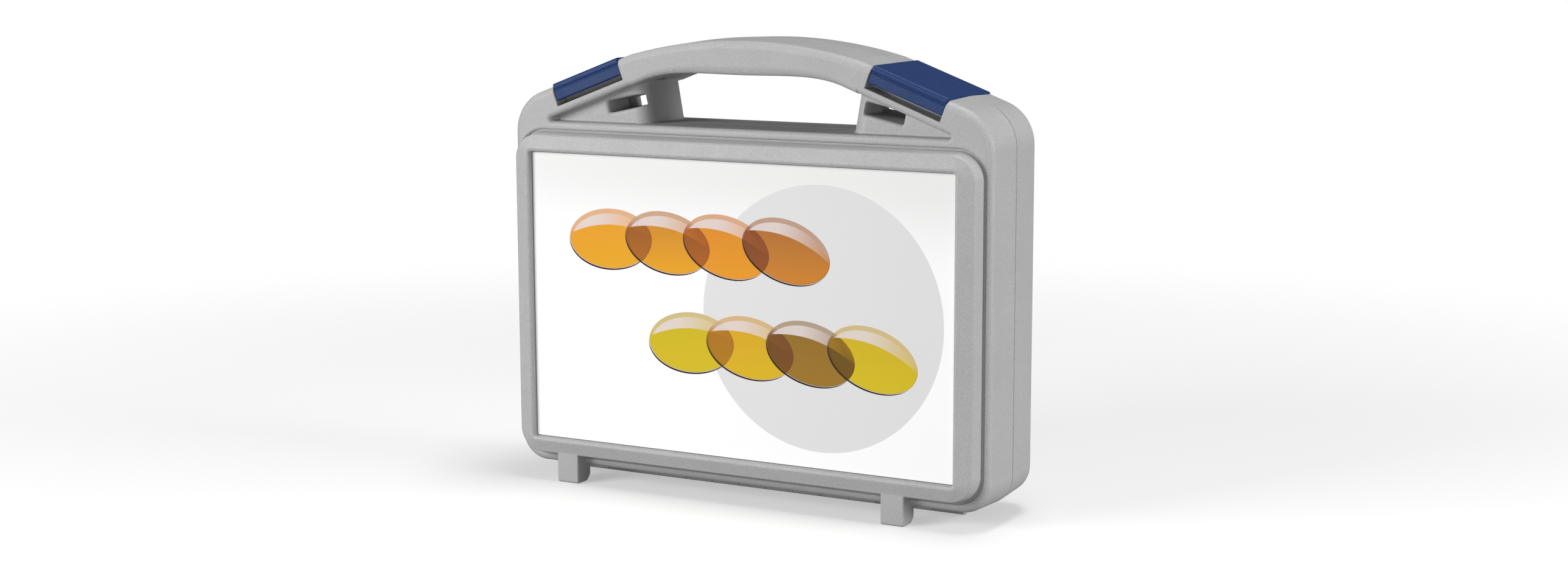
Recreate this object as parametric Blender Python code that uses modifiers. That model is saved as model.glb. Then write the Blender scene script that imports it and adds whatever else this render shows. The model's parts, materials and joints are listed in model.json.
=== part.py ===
"""Trial lens set: a moulded carry case that opens on a rail hinge, with tinted lenses in a foam tray.

The case stands on its feet. X runs to the right, the lid faces -Y and Z is up. Both shells come
from one mould: the base shell is the lid shell turned half a turn about Z.
"""

import math

import bmesh
import bpy
from mathutils import Matrix, Vector

# Shell outline in the front view
HALF_WIDTH = 0.1360
BOTTOM = 0.0076
BOTTOM_RADIUS = 0.015
SHOULDER_RADIUS = 0.022
SLOPE = math.radians(20.4)
SLOPE_POINT = (0.1123, 0.2066)
ARCH_TOP = 0.2325
ARCH_RADIUS = 0.258
ARCH_HALF_SPAN = 0.066

# Shell depth, measured from the parting plane at Y = 0
PARTING_GAP = 0.0003
FACE = 0.0270
EDGE_RADIUS = 0.0036
DRAFT = 0.0010
DRAFT_CENTRE = 0.110
WALL = 0.0025

# Raised frame around the label
FRAME_HALF_WIDTH = 0.1306
FRAME_LOW = 0.0139
FRAME_HIGH = 0.1825
FRAME_RADIUS = 0.0135
RIDGE = 0.0347
CREST = 0.0367
LABEL_HALF_WIDTH = 0.1200
LABEL_LOW = 0.0235
LABEL_HIGH = 0.1730
LABEL_FLOOR = 0.0328
LABEL_THICKNESS = 0.0004

# Handle opening, webs and strap slots
OPENING_LOW = 0.1882
GRIP_LOW = 0.2136
WEB_FACE = 0.0205
WEB_BACK = 0.0170
WEB_TIP = (0.1120, 0.1895)
WEB_TIP_RADIUS = 0.0010
WEB_EDGE_ROUND = 0.0080
RECESS_ROUND = 0.0024
SLOT_SIZE = (0.0212, 0.0062)
SLOT_CENTRES = ((-0.0708, 0.1983), (0.0757, 0.1984))
SLOT_ANGLE = math.radians(12.0)
SLOT_WALL = 0.0018

# Latches, in section: v runs along Y and w along the slope's outward normal
LATCH_LENGTH = 0.0417
LATCH_CENTRE = 0.0920
LATCH_TOP = 0.0003
LATCH_THICKNESS = 0.0022
LATCH_FRONT = 0.0262
LATCH_LIP = 0.0080
LATCH_PIVOT = (0.0223, -0.0025)
LATCH_BARREL = 0.0028
POCKET_BACK = 0.0190
POCKET_LOW = -0.0116
POCKET_FLOOR = -0.0023
SIDE_GAP = 0.0004
PIN_OVERHANG = 0.0030
HOLE_OVERHANG = 0.0034

# Rail hinge and feet
HINGE_HEIGHT = 0.0038
KNUCKLE_RADIUS = 0.0032
KNUCKLE_PITCH = 0.0159
KNUCKLES = 14
KNUCKLE_GAP = 0.0004
PIN_RADIUS = 0.0010
HINGE_PIN_SHORT = 0.0010
BORE_RADIUS = 0.0013
FOOT_SPANS = ((-0.1068, -0.0941), (0.0812, 0.0938))
FOOT_FRONT = 0.0346
FOOT_BACK = 0.0225
FOOT_TOP = 0.0160
FOOT_ROUND = 0.0012

# Cavity and what lies in it
CAVITY_HALF_WIDTH = 0.1332
CAVITY_TOP = 0.1816
CAVITY_RADIUS = 0.0125
CAVITY_DEPTH = 0.0245
DEEP_HALF_WIDTH = 0.1265
DEEP_LOW = 0.0175
DEEP_HIGH = 0.1790
DEEP_RADIUS = 0.0090
DEEP_DEPTH = 0.0302
FOAM_GAP = 0.0004
TRAY_TOP = 0.0060
TRAY_SPLIT = 0.0115
LID_FOAM_TOP = -0.0065

# Lenses
LENS_COLUMNS = (-0.0885, -0.0295, 0.0295, 0.0885)
LENS_ROWS = (0.1335, 0.0555)
RIM_RADIUS = 0.0190
RIM_INNER = 0.0163
RIM_THICKNESS = 0.0032
GLASS_THICKNESS = 0.0020
TAB = (0.0090, 0.0075, 0.0016)
LENS_SIDES = 24
POCKET_RADIUS = 0.0202
LENS_BACK = TRAY_SPLIT - 0.0003

# How far cutters run past a surface, how finely arcs are divided, and where shading turns sharp
CLEAR = 0.0020
ARC_STEP = math.radians(15.0)
SHARP_ANGLE = math.radians(32.0)

# Colours
SHELL_GREY = (0.47, 0.47, 0.48, 1.0)
LATCH_BLUE = (0.030, 0.075, 0.230, 1.0)
LENS_TINTS = (
    (0.90, 0.30, 0.02, 1.0),
    (0.55, 0.17, 0.05, 1.0),
    (0.88, 0.36, 0.04, 1.0),
    (0.60, 0.22, 0.05, 1.0),
    (0.92, 0.62, 0.03, 1.0),
    (0.88, 0.45, 0.03, 1.0),
    (0.42, 0.22, 0.04, 1.0),
    (0.85, 0.70, 0.03, 1.0),
)


def clear_scene():
    for obj in list(bpy.data.objects):
        bpy.data.objects.remove(obj, do_unlink=True)


def new_collection(name):
    collection = bpy.data.collections.new(name)
    bpy.context.scene.collection.children.link(collection)
    return collection


def plain_material(name, colour, roughness, metallic=0.0, transmission=0.0):
    material = bpy.data.materials.new(name)
    material.use_nodes = True
    shader = material.node_tree.nodes["Principled BSDF"]
    shader.inputs["Base Color"].default_value = colour
    shader.inputs["Roughness"].default_value = roughness
    shader.inputs["Metallic"].default_value = metallic
    shader.inputs["Transmission Weight"].default_value = transmission
    material.diffuse_color = colour
    return material


# Outlines: lists of (x, z) points in the front view, counter-clockwise


def arc(centre, radius, start, end):
    steps = max(2, math.ceil(abs(end - start) / ARC_STEP))
    angles = [start + (end - start) * i / steps for i in range(steps + 1)]
    return [(centre[0] + radius * math.cos(a), centre[1] + radius * math.sin(a)) for a in angles]


def rounded_rectangle(half_width, low, high, radius):
    x = half_width - radius
    bottom, top = low + radius, high - radius
    quarter = math.pi / 2
    return (
        arc((x, bottom), radius, -quarter, 0)
        + arc((x, top), radius, 0, quarter)
        + arc((-x, top), radius, quarter, 2 * quarter)
        + arc((-x, bottom), radius, 2 * quarter, 3 * quarter)
    )


def slope_height(x, below=0.0):
    """Height of the latch slope at x, or of a line that lies that far below it."""
    return SLOPE_POINT[1] - (abs(x) - SLOPE_POINT[0]) * math.tan(SLOPE) - below / math.cos(SLOPE)


def arch_height(x, below=0.0):
    radius = ARCH_RADIUS - below
    return ARCH_TOP - ARCH_RADIUS + math.sqrt(radius * radius - x * x)


def mirrored(right_half):
    """Closes an outline whose right half runs upwards from the bottom."""
    return right_half + [(-x, z) for x, z in reversed(right_half) if abs(x) > 1e-9]


def case_outline():
    corner = arc((HALF_WIDTH - BOTTOM_RADIUS, BOTTOM + BOTTOM_RADIUS), BOTTOM_RADIUS, -math.pi / 2, 0)
    shoulder_x = HALF_WIDTH - SHOULDER_RADIUS
    shoulder_z = slope_height(shoulder_x, SHOULDER_RADIUS)
    shoulder = arc((shoulder_x, shoulder_z), SHOULDER_RADIUS, 0, math.pi / 2 - SLOPE)
    arch = [(x, arch_height(x)) for x in (ARCH_HALF_SPAN * i / 5 for i in range(5, -1, -1))]
    return mirrored(corner + shoulder + arch)


def web_line(x):
    """Height of the upper edge of the recesses over the webs."""
    crown = WEB_TIP[1] + WEB_TIP_RADIUS / math.cos(SLOPE)
    return crown + (WEB_TIP[0] - x) * math.tan(SLOPE)


def opening_outline(side, grow=0.0, lift=0.0):
    """Handle opening, widened at its sides, grown all round, or lifted under the middle of the grip."""
    foot_x, head_x, grip_end = 0.0574 + side, 0.0606 + side, 0.0585
    corner = 0.0013
    head_z = web_line(head_x) - corner + grow
    sill = OPENING_LOW - grow
    right = [(foot_x - corner, sill), (foot_x, sill + corner)]
    right += [(head_x, head_z), (head_x - corner, head_z + corner)]
    steps = 4
    for i in range(steps + 1):
        x = grip_end * (1 - i / steps)
        raised = grow + lift * (1 - (x / grip_end) ** 2)
        right.append((x, GRIP_LOW + 1.15 * x**2 - 650 * x**4 + raised))
    return mirrored(right)


def web_outline(side, grow):
    """Triangular recess over a web; side is 1 at the right and -1 at the left."""
    inner = 0.0640
    tip = arc(WEB_TIP, WEB_TIP_RADIUS + grow, -math.pi / 2, math.pi / 2 - SLOPE)
    low = WEB_TIP[1] - WEB_TIP_RADIUS - grow
    high = web_line(inner) + grow / math.cos(SLOPE)
    right = [(inner, low), *tip, (inner, high)]
    return [(side * x, z) for x, z in (right if side > 0 else reversed(right))]


def slot_outline(centre, grow):
    length, height = SLOT_SIZE[0] + 2 * grow, SLOT_SIZE[1] + 2 * grow
    angle = -SLOT_ANGLE if centre[0] > 0 else SLOT_ANGLE
    turned = []
    cos, sin = math.cos(angle), math.sin(angle)
    for x, z in rounded_rectangle(length / 2, -height / 2, height / 2, 0.0010):
        turned.append((centre[0] + x * cos - z * sin, centre[1] + x * sin + z * cos))
    return turned


def quarter_round(radius, steps):
    """(rise, inset) pairs of a quarter circle, from its level end to its upright end."""
    angles = [i / steps * math.pi / 2 for i in range(steps + 1)]
    return [(radius * math.sin(a), radius * (1 - math.cos(a))) for a in angles]


# Solids


def object_from_bmesh(name, bm, collection):
    mesh = bpy.data.meshes.new(name)
    bm.to_mesh(mesh)
    bm.free()
    obj = bpy.data.objects.new(name, mesh)
    collection.objects.link(obj)
    return obj


def mesh_of(obj):
    graph = bpy.context.evaluated_depsgraph_get()
    return bpy.data.meshes.new_from_object(obj.evaluated_get(graph))


def extruded(name, outline, low, high, collection):
    """Flat outline extruded along the local Z axis from low to high, with each cap one face."""
    curve = bpy.data.curves.new(name, "CURVE")
    curve.dimensions = "2D"
    curve.fill_mode = "BOTH"
    curve.extrude = (high - low) / 2
    spline = curve.splines.new("POLY")
    spline.points.add(len(outline) - 1)
    for point, (x, y) in zip(spline.points, outline):
        point.co = (x, y, 0, 1)
    spline.use_cyclic_u = True
    guide = bpy.data.objects.new(name + "_outline", curve)
    collection.objects.link(guide)
    bm = bmesh.new()
    bm.from_mesh(mesh_of(guide))
    bpy.data.objects.remove(guide, do_unlink=True)
    bmesh.ops.remove_doubles(bm, verts=bm.verts, dist=1e-6)
    bmesh.ops.dissolve_limit(bm, angle_limit=0.001, verts=bm.verts, edges=bm.edges)
    bmesh.ops.translate(bm, verts=bm.verts, vec=(0, 0, (low + high) / 2))
    bmesh.ops.recalc_face_normals(bm, faces=bm.faces)
    return object_from_bmesh(name, bm, collection)


def plate(name, outline, y_from, y_to, collection):
    """Front-view outline given a depth along Y."""
    obj = extruded(name, outline, -y_to, -y_from, collection)
    obj.data.transform(Matrix.Rotation(math.pi / 2, 4, "X"))
    return obj


def loft(name, sections, collection):
    """Skin over front-view outlines with equal numbers of points, each at its own Y."""
    bm = bmesh.new()
    rings = [[bm.verts.new((x, y, z)) for x, z in outline] for y, outline in sections]
    count = len(rings[0])
    for ring, following in zip(rings, rings[1:]):
        for i in range(count):
            j = (i + 1) % count
            bm.faces.new((ring[i], ring[j], following[j], following[i]))
    bm.faces.new(rings[0])
    bm.faces.new(rings[-1])
    bmesh.ops.recalc_face_normals(bm, faces=bm.faces)
    return object_from_bmesh(name, bm, collection)


def rod(name, radius, length, centre, direction, collection, sides=12):
    bm = bmesh.new()
    bmesh.ops.create_cone(
        bm, cap_ends=True, segments=sides, radius1=radius, radius2=radius, depth=length
    )
    turn = Vector((0, 0, 1)).rotation_difference(Vector(direction)).to_matrix().to_4x4()
    bm.transform(Matrix.Translation(centre) @ turn)
    return object_from_bmesh(name, bm, collection)


def box(name, low, high, collection, bevel=0.0, segments=2):
    bm = bmesh.new()
    bmesh.ops.create_cube(bm, size=1.0)
    size = [b - a for a, b in zip(low, high)]
    bmesh.ops.scale(bm, verts=bm.verts, vec=size)
    bmesh.ops.translate(bm, verts=bm.verts, vec=[(a + b) / 2 for a, b in zip(low, high)])
    if bevel:
        bmesh.ops.bevel(
            bm, geom=bm.edges[:], offset=bevel, segments=segments, profile=0.5, affect="EDGES"
        )
    return object_from_bmesh(name, bm, collection)


def joined(name, pieces, collection):
    """One mesh from several that don't touch."""
    bm = bmesh.new()
    for piece in pieces:
        bm.from_mesh(piece.data)
        bpy.data.objects.remove(piece, do_unlink=True)
    return object_from_bmesh(name, bm, collection)


def boolean(target, tool, operation):
    modifier = target.modifiers.new(tool.name, "BOOLEAN")
    modifier.operation = operation
    modifier.object = tool
    tool.hide_render = True
    tool.display_type = "WIRE"


def settle(obj):
    """Replaces an object's mesh by its evaluated one, with its modifiers applied."""
    mesh = mesh_of(obj)
    obj.modifiers.clear()
    obj.data = mesh
    return obj


def finish(obj, material):
    obj.data.materials.clear()
    obj.data.materials.append(material)
    obj.data.shade_smooth()
    obj.data.set_sharp_from_angle(angle=SHARP_ANGLE)
    return obj


def set_origin(obj, origin):
    """Moves the origin of an unrotated object without moving its shape."""
    obj.data.transform(Matrix.Translation(-(Vector(origin) - obj.location)))
    obj.location = origin


def bevel_edges(obj, chosen, offset, segments):
    """Rounds the edges whose two ends both satisfy a test on their position."""
    bm = bmesh.new()
    bm.from_mesh(obj.data)
    edges = [e for e in bm.edges if all(chosen(v.co) for v in e.verts)]
    bmesh.ops.bevel(
        bm, geom=edges, offset=offset, segments=segments, profile=0.5, affect="EDGES"
    )
    bm.to_mesh(obj.data)
    bm.free()


# Latches share one frame: origin on the slope, local X along Y, local Y along the outward normal


def latch_matrix(side):
    """Latch frame in the world; side is 1 at the right and -1 at the left."""
    normal = Vector((side * math.sin(SLOPE), 0, math.cos(SLOPE)))
    across = Vector((0, 1, 0))
    along = across.cross(normal)
    turn = Matrix((across, normal, along)).transposed().to_4x4()
    centre = (side * LATCH_CENTRE, 0, slope_height(LATCH_CENTRE))
    return Matrix.Translation(centre) @ turn


def latch_profile():
    """Section of a latch: a flat top that turns down into a lip, with a barrel at its pivot."""
    nose_radius, edge = 0.0018, 0.0004
    top, low = LATCH_TOP, LATCH_TOP - LATCH_THICKNESS
    back = -LATCH_FRONT + LATCH_THICKNESS
    pivot_v, pivot_w = LATCH_PIVOT
    barrel = arc((pivot_v, pivot_w), LATCH_BARREL, math.pi / 2, -math.pi)
    nose = arc((-LATCH_FRONT + nose_radius, top - nose_radius), nose_radius, math.pi, math.pi / 2)
    lip = [
        (back, -LATCH_LIP + edge),
        (back - edge, -LATCH_LIP),
        (-LATCH_FRONT + edge, -LATCH_LIP),
        (-LATCH_FRONT, -LATCH_LIP + edge),
    ]
    underside = [(pivot_v - LATCH_BARREL, low), (back + 2 * edge, low), (back, low - 2 * edge)]
    return lip + nose + barrel + underside


def make_latch(name, side, material, parts, cutters):
    half = LATCH_LENGTH / 2
    latch = extruded(name, latch_profile()[::-1], -half, half, parts)
    bevel_edges(latch, lambda co: abs(abs(co.z) - half) < 1e-6, 0.0003, 1)
    centre = (*LATCH_PIVOT, 0)
    bore = rod(name + "_bore", BORE_RADIUS, 2 * LATCH_LENGTH, centre, (0, 0, 1), cutters)
    boolean(latch, bore, "DIFFERENCE")
    settle(latch)
    latch.data.transform(Matrix.Translation((-LATCH_PIVOT[0], -LATCH_PIVOT[1], 0)))
    latch.matrix_world = latch_matrix(side) @ Matrix.Translation(centre)
    return finish(latch, material)


def latch_pocket(side, cutters):
    """Room for a latch and for fingers under its lip, in the latch's frame."""
    high, front, edge = 3 * CLEAR, -FACE - CLEAR, 0.0010
    outline = [
        (front, high),
        (front, POCKET_LOW),
        (-POCKET_BACK - edge, POCKET_LOW),
        (-POCKET_BACK, POCKET_LOW + edge),
        (-POCKET_BACK, POCKET_FLOOR),
        (CLEAR, POCKET_FLOOR),
        (CLEAR, high),
    ]
    half = LATCH_LENGTH / 2 + SIDE_GAP
    pocket = extruded("latch_pocket", outline, -half, half, cutters)
    pocket.data.transform(latch_matrix(side))
    return pocket


def latch_pin(name, side, radius, overhang, collection, y_sign=1):
    """Rod on a latch's pivot axis; y_sign is -1 for that of the other shell's latch."""
    pivot = latch_matrix(side) @ Vector((y_sign * LATCH_PIVOT[0], LATCH_PIVOT[1], 0))
    along = latch_matrix(side).to_3x3() @ Vector((0, 0, 1))
    return rod(name, radius, LATCH_LENGTH + 2 * overhang, pivot, along, collection)


# Shells


def shell_body(parts):
    body = plate("lid_shell", case_outline(), -FACE, -PARTING_GAP / 2, parts)
    for vertex in body.data.vertices:
        if vertex.co.y < -FACE / 2:
            vertex.co.x *= 1 - DRAFT / HALF_WIDTH
            vertex.co.z += (DRAFT_CENTRE - vertex.co.z) * DRAFT / HALF_WIDTH
    bevel_edges(body, lambda co: co.y < -FACE + 1e-6, EDGE_RADIUS, 3)
    return body


def label_frame(cutters):
    """Raised frame: a skirt with rounded corners that rises to a nearly sharp-cornered opening."""

    def ring(y, inset):
        low, high = FRAME_LOW + inset, FRAME_HIGH - inset
        return (-y, rounded_rectangle(FRAME_HALF_WIDTH - inset, low, high, FRAME_RADIUS - inset))

    def inner(y, grow, radius):
        low, high = LABEL_LOW - grow, LABEL_HIGH + grow
        return (-y, rounded_rectangle(LABEL_HALF_WIDTH + grow, low, high, radius))

    sections = [
        ring(FACE - 0.0010, 0.0),
        ring(RIDGE - 0.0014, 0.0008),
        ring(RIDGE - 0.0004, 0.0012),
        ring(RIDGE + 0.0001, 0.0022),
        inner(CREST, 0.0020, 0.0030),
        inner(CREST - 0.0008, 0.0002, 0.0014),
        inner(LABEL_FLOOR, 0.0, 0.0012),
    ]
    return loft("label_frame", sections, cutters)


def handle_cutter(cutters):
    """Handle opening, with the webs' inner edges rounded and the recess's rim rounded at the face."""
    r, lift = WEB_EDGE_ROUND, 0.0012
    sections = [(CLEAR, opening_outline(0)), (-WEB_FACE + r, opening_outline(0, 0, lift / 2))]
    for rise, inset in quarter_round(r, 4)[1:]:
        sections.append((-WEB_FACE + r - rise, opening_outline(inset, 0, lift)))
    for rise, inset in quarter_round(RECESS_ROUND, 3):
        y = -FACE + RECESS_ROUND - rise
        sections.append((y, opening_outline(r, inset, lift + inset)))
    sections.append((-FACE - CLEAR, opening_outline(r, RECESS_ROUND, lift + RECESS_ROUND)))
    return loft("handle_cutter", sections, cutters)


def web_cutter(side, cutters):
    fillet = 0.0008
    sections = [(-WEB_FACE, web_outline(side, -fillet)), (-WEB_FACE - fillet, web_outline(side, 0.0))]
    for rise, inset in quarter_round(RECESS_ROUND, 3):
        sections.append((-FACE + RECESS_ROUND - rise, web_outline(side, inset)))
    sections.append((-FACE - CLEAR, web_outline(side, RECESS_ROUND)))
    return loft("web_cutter", sections, cutters)


def slot_cutter(centre, cutters):
    """Strap slot, with a rounded lead-in at the web's face."""
    lead_in = 0.0018
    sections = [(CLEAR, slot_outline(centre, 0.0))]
    for rise, inset in quarter_round(lead_in, 3):
        sections.append((-WEB_FACE + lead_in - rise, slot_outline(centre, inset)))
    sections.append((-WEB_FACE - CLEAR, slot_outline(centre, lead_in)))
    return loft("slot_cutter", sections, cutters)


def web_hollow(side, slot_centre, cutters):
    """Space behind a web, closed round the strap slot by the slot's own walls."""
    floor, roof, inner, latch_end = OPENING_LOW + WALL + 0.0005, 0.0050, 0.0636, 0.1145
    right = [
        (inner, floor),
        (0.1290, floor),
        (0.1270, 0.1965),
        (0.1190, slope_height(0.1190, 0.0032)),
        (latch_end, slope_height(latch_end, roof)),
        (inner, slope_height(inner, roof)),
    ]
    outline = [(side * x, z) for x, z in (right if side > 0 else reversed(right))]
    hollow = plate("web_hollow", outline, -WEB_BACK, CLEAR, cutters)
    wall = slot_outline(slot_centre, SLOT_WALL)
    tunnel = plate("slot_wall", wall, -FACE - CLEAR, 2 * CLEAR, cutters)
    boolean(hollow, tunnel, "DIFFERENCE")
    return settle(hollow)


def grip_hollow(cutters):
    half, inner = 0.0570, 0.0440
    top = []
    steps = 4
    for i in range(steps + 1):
        x = half * (1 - i / steps)
        top.append((x, arch_height(x, WALL)))
    outline = mirrored([(inner, 0.2170), (half, 0.2154), *top])
    return plate("grip_hollow", outline, -CAVITY_DEPTH + 0.0010, CLEAR, cutters)


def knuckle_row(cutters):
    """Every second knuckle of the rail, each with the arm that carries it."""
    arm_back, arm_top = -0.0004, BOTTOM + 0.0016
    pieces = []
    for i in range(0, KNUCKLES, 2):
        left = (i - KNUCKLES / 2) * KNUCKLE_PITCH + KNUCKLE_GAP / 2
        right = left + KNUCKLE_PITCH - KNUCKLE_GAP
        outline = arc((0, HINGE_HEIGHT), KNUCKLE_RADIUS, math.pi, 2 * math.pi)
        outline += arc((0, HINGE_HEIGHT), KNUCKLE_RADIUS, 0, math.pi / 2)[:-1]
        outline += [(arm_back, HINGE_HEIGHT + KNUCKLE_RADIUS), (arm_back, arm_top)]
        outline += [(-KNUCKLE_RADIUS, arm_top)]
        piece = extruded("knuckle", outline, left, right, cutters)
        piece.data.transform(Matrix(((0, 0, 1, 0), (1, 0, 0, 0), (0, 1, 0, 0), (0, 0, 0, 1))))
        pieces.append(piece)
    return joined("knuckles", pieces, cutters)


def foot(span, cutters):
    low, high = (span[0], -FOOT_FRONT, 0), (span[1], -FOOT_BACK, FOOT_TOP)
    return box("foot", low, high, cutters, FOOT_ROUND)


def make_lid_shell(material, parts, cutters):
    body = shell_body(parts)
    added = [label_frame(cutters), knuckle_row(cutters)]
    added += [foot(span, cutters) for span in FOOT_SPANS]
    cavity = rounded_rectangle(CAVITY_HALF_WIDTH, BOTTOM + WALL, CAVITY_TOP, CAVITY_RADIUS)
    deep = rounded_rectangle(DEEP_HALF_WIDTH, DEEP_LOW, DEEP_HIGH, DEEP_RADIUS)
    removed = [
        plate("cavity", cavity, -CAVITY_DEPTH, CLEAR, cutters),
        plate("deep_cavity", deep, -DEEP_DEPTH, -CAVITY_DEPTH + CLEAR, cutters),
        grip_hollow(cutters),
        handle_cutter(cutters),
    ]
    for side, centre in zip((-1, 1), SLOT_CENTRES):
        removed.append(web_cutter(side, cutters))
        removed.append(web_hollow(side, centre, cutters))
        removed.append(slot_cutter(centre, cutters))
        removed.append(latch_pocket(side, cutters))
        removed.append(latch_pin("pin_hole", side, BORE_RADIUS, HOLE_OVERHANG, cutters, -1))
    rail = KNUCKLES * KNUCKLE_PITCH + 2 * CLEAR
    removed.append(rod("hinge_bore", BORE_RADIUS, rail, (0, 0, HINGE_HEIGHT), (1, 0, 0), cutters))
    for tool in added:
        boolean(body, tool, "UNION")
    for tool in removed:
        boolean(body, tool, "DIFFERENCE")
    settle(body)
    set_origin(body, (0, 0, HINGE_HEIGHT))
    return finish(body, material)


def make_base_shell(lid, parts):
    base = bpy.data.objects.new("base_shell", lid.data)
    base.location = lid.location
    base.rotation_euler = (0, 0, math.pi)
    parts.objects.link(base)
    return base


# Contents


def make_label(material, parts):
    """Card that lies in the frame with a small gap behind it and all round."""
    gap, corner = 0.0003, 0.0010
    low, high = LABEL_LOW + gap, LABEL_HIGH - gap
    outline = rounded_rectangle(LABEL_HALF_WIDTH - gap, low, high, corner)
    front = LABEL_FLOOR + gap + LABEL_THICKNESS
    return finish(plate("label_card", outline, -front, -front + LABEL_THICKNESS, parts), material)


def foam_outline():
    low, high = BOTTOM + WALL + FOAM_GAP, CAVITY_TOP - FOAM_GAP
    return rounded_rectangle(CAVITY_HALF_WIDTH - FOAM_GAP, low, high, CAVITY_RADIUS)


def lens_places():
    return [(x, z) for z in LENS_ROWS for x in LENS_COLUMNS]


def pocket_outline(x, z):
    """Round pocket with a slot for the rim's tab at its top."""
    room = POCKET_RADIUS - RIM_RADIUS
    half = TAB[0] / 2 + room
    start = math.asin(half / POCKET_RADIUS)
    around = arc((x, z), POCKET_RADIUS, math.pi / 2 + start, 2.5 * math.pi - start)
    top = z + RIM_RADIUS + TAB[1] + room
    return around + [(x + half, top), (x - half, top)]


def make_tray(material, parts, cutters):
    tray = plate("tray_foam", foam_outline(), TRAY_TOP, TRAY_SPLIT - 0.0002, parts)
    low, high = TRAY_TOP - CLEAR, TRAY_SPLIT + CLEAR
    pockets = [plate("pocket", pocket_outline(x, z), low, high, cutters) for x, z in lens_places()]
    boolean(tray, joined("pockets", pockets, cutters), "DIFFERENCE")
    return finish(settle(tray), material)


def turned(name, profile, steps, collection):
    """Closed ring turned about the local Z axis from (radius, height) points, top to bottom outside."""
    bm = bmesh.new()
    verts = [bm.verts.new((r, 0, h)) for r, h in profile]
    for a, b in zip(verts, verts[1:] + verts[:1]):
        bm.edges.new((a, b))
    ring = object_from_bmesh(name, bm, collection)
    screw = ring.modifiers.new("turn", "SCREW")
    screw.steps = screw.render_steps = steps
    screw.use_merge_vertices = True
    screw.merge_threshold = 0.00001
    return settle(ring)


def make_rim_mesh(parts, cutters):
    half = RIM_THICKNESS / 2
    step, tab_edge, tab_root = 0.0005, 0.0004, RIM_RADIUS - 0.0012
    profile = [
        (RIM_RADIUS - step, half),
        (RIM_RADIUS, half - step),
        (RIM_RADIUS, -half + step),
        (RIM_RADIUS - step, -half),
        (RIM_INNER, -half),
        (RIM_INNER, half),
    ]
    rim = turned("rim_blank", profile, LENS_SIDES, parts)
    rim.data.transform(Matrix.Rotation(math.pi / 2, 4, "X"))
    width, length, thickness = TAB
    low = (-width / 2, -thickness / 2, tab_root)
    high = (width / 2, thickness / 2, RIM_RADIUS + length)
    boolean(rim, box("tab", low, high, cutters, tab_edge, 1), "UNION")
    settle(rim)
    mesh = rim.data
    bpy.data.objects.remove(rim, do_unlink=True)
    return mesh


def make_glass_mesh(parts):
    radius = RIM_INNER - 0.0003
    along = (0, 1, 0)
    glass = rod("glass_blank", radius, GLASS_THICKNESS, (0, 0, 0), along, parts, LENS_SIDES)
    mesh = glass.data
    bpy.data.objects.remove(glass, do_unlink=True)
    return mesh


def make_lenses(rim_material, parts, cutters):
    rim_mesh = make_rim_mesh(parts, cutters)
    rim_mesh.materials.clear()
    rim_mesh.materials.append(rim_material)
    rim_mesh.shade_smooth()
    rim_mesh.set_sharp_from_angle(angle=SHARP_ANGLE)
    y = LENS_BACK - RIM_THICKNESS / 2
    for number, ((x, z), tint) in enumerate(zip(lens_places(), LENS_TINTS), 1):
        rim = bpy.data.objects.new(f"lens_rim_{number}", rim_mesh)
        rim.location = (x, y, z)
        parts.objects.link(rim)
        glass = bpy.data.objects.new(f"lens_glass_{number}", make_glass_mesh(parts))
        glass.location = (x, y, z)
        parts.objects.link(glass)
        finish(glass, plain_material(f"lens_tint_{number}", tint, 0.05, 0.0, 0.8))


def main():
    clear_scene()
    parts = new_collection("trial_lens_set")
    cutters = new_collection("cutters")
    shell = plain_material("shell_plastic", SHELL_GREY, 0.6)
    blue = plain_material("latch_plastic", LATCH_BLUE, 0.4)
    card = plain_material("label_card", (0.85, 0.85, 0.85, 1.0), 0.35)
    steel = plain_material("pin_steel", (0.6, 0.6, 0.62, 1.0), 0.3, 1.0)
    foam = plain_material("foam", (0.035, 0.035, 0.038, 1.0), 0.95)
    black = plain_material("rim_black", (0.03, 0.03, 0.03, 1.0), 0.35)

    lid = make_lid_shell(shell, parts, cutters)
    make_base_shell(lid, parts)
    make_label(card, parts)
    pin_length = KNUCKLES * KNUCKLE_PITCH - HINGE_PIN_SHORT
    finish(rod("hinge_pin", PIN_RADIUS, pin_length, (0, 0, HINGE_HEIGHT), (1, 0, 0), parts), steel)
    for name, side in (("left", -1), ("right", 1)):
        make_latch(f"latch_{name}", side, blue, parts, cutters)
        finish(latch_pin(f"latch_pin_{name}", side, PIN_RADIUS, PIN_OVERHANG, parts), steel)

    make_tray(foam, parts, cutters)
    floor = plate("tray_floor", foam_outline(), TRAY_SPLIT + 0.0001, CAVITY_DEPTH - FOAM_GAP, parts)
    finish(floor, foam)
    lid_foam = plate("lid_foam", foam_outline(), -CAVITY_DEPTH + FOAM_GAP, LID_FOAM_TOP, parts)
    finish(lid_foam, foam)
    make_lenses(black, parts, cutters)


main()
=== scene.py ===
import json
import math

import bmesh
import bpy
from mathutils import Matrix, Vector


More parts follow.
